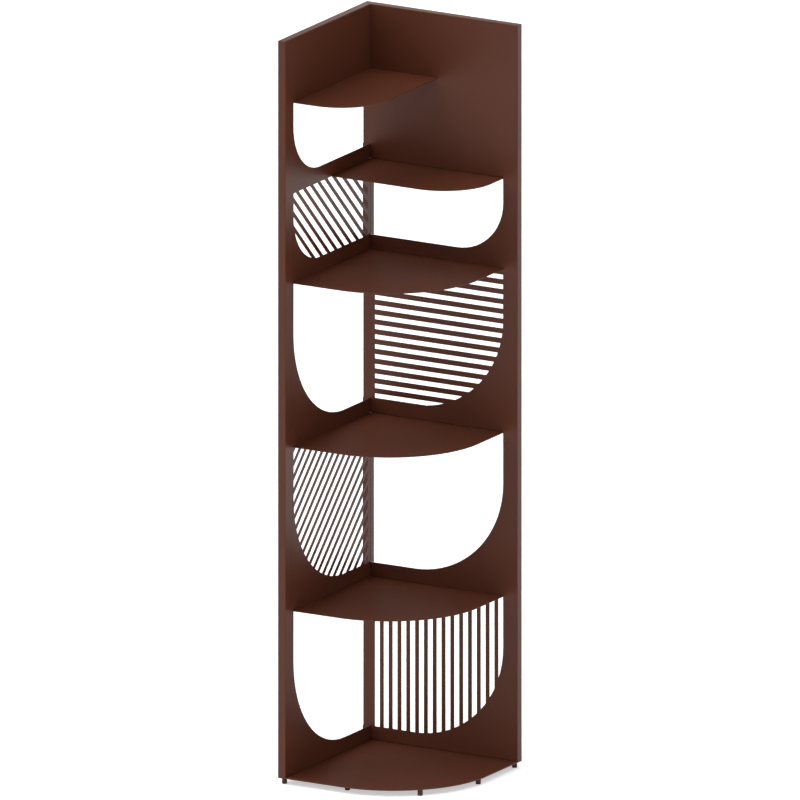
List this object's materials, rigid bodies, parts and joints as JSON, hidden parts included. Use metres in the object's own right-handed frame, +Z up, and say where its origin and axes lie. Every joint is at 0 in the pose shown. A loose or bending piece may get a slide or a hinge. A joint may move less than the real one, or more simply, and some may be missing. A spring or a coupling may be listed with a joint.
{
  "type": "corner shelf unit",
  "caption": "Tall corner shelf of brown powder-coated folded steel: two panels with cut-outs and slots, rounded shelves, levelling feet.",
  "frame": {"origin": "middle of the footprint, on the floor", "axes": "+Z up; +X along the right panel away from the corner; -Y along the left panel away from it"},
  "size_m": [0.421, 0.421, 1.815],
  "materials": {
    "powder_coated_steel": "rust-brown satin powder coat on folded sheet steel",
    "zinc_plated_steel": "zinc-plated fasteners",
    "foot_plastic": "moulded dark plastic"
  },
  "bodies": {
    "frame": {"left_panel": "powder_coated_steel", "right_panel": "powder_coated_steel", "base_plate": "powder_coated_steel", "lower_shelf": "powder_coated_steel", "middle_shelf": "powder_coated_steel", "upper_shelf": "powder_coated_steel", "wide_half_shelf": "powder_coated_steel", "top_half_shelf": "powder_coated_steel", "corner_studs": "zinc_plated_steel", "corner_nuts": "zinc_plated_steel", "base_studs": "zinc_plated_steel", "base_nuts": "zinc_plated_steel", "lower_shelf_studs": "zinc_plated_steel", "lower_shelf_nuts": "zinc_plated_steel", "middle_shelf_studs": "zinc_plated_steel", "middle_shelf_nuts": "zinc_plated_steel", "upper_shelf_studs": "zinc_plated_steel", "upper_shelf_nuts": "zinc_plated_steel", "wide_half_shelf_studs": "zinc_plated_steel", "wide_half_shelf_nuts": "zinc_plated_steel", "top_half_shelf_studs": "zinc_plated_steel", "top_half_shelf_nuts": "zinc_plated_steel", "foot_bosses": "powder_coated_steel"},
    "foot_left_front": {"foot_pad_left_front": "foot_plastic", "foot_stud_left_front": "zinc_plated_steel"},
    "foot_left_middle": {"foot_pad_left_middle": "foot_plastic", "foot_stud_left_middle": "zinc_plated_steel"},
    "foot_front": {"foot_pad_front": "foot_plastic", "foot_stud_front": "zinc_plated_steel"},
    "foot_right_middle": {"foot_pad_right_middle": "foot_plastic", "foot_stud_right_middle": "zinc_plated_steel"},
    "foot_right_front": {"foot_pad_right_front": "foot_plastic", "foot_stud_right_front": "zinc_plated_steel"},
    "foot_back": {"foot_pad_back": "foot_plastic", "foot_stud_back": "zinc_plated_steel"}
  },
  "joints": [
    {"name": "foot_left_front_height", "type": "slide", "parent": "frame", "child": "foot_left_front", "axis": [0, 0, -1], "range_m": [0, 0.005]},
    {"name": "foot_left_middle_height", "type": "slide", "parent": "frame", "child": "foot_left_middle", "axis": [0, 0, -1], "range_m": [0, 0.005]},
    {"name": "foot_front_height", "type": "slide", "parent": "frame", "child": "foot_front", "axis": [0, 0, -1], "range_m": [0, 0.005]},
    {"name": "foot_right_middle_height", "type": "slide", "parent": "frame", "child": "foot_right_middle", "axis": [0, 0, -1], "range_m": [0, 0.005]},
    {"name": "foot_right_front_height", "type": "slide", "parent": "frame", "child": "foot_right_front", "axis": [0, 0, -1], "range_m": [0, 0.005]},
    {"name": "foot_back_height", "type": "slide", "parent": "frame", "child": "foot_back", "axis": [0, 0, -1], "range_m": [0, 0.005]}
  ]
}
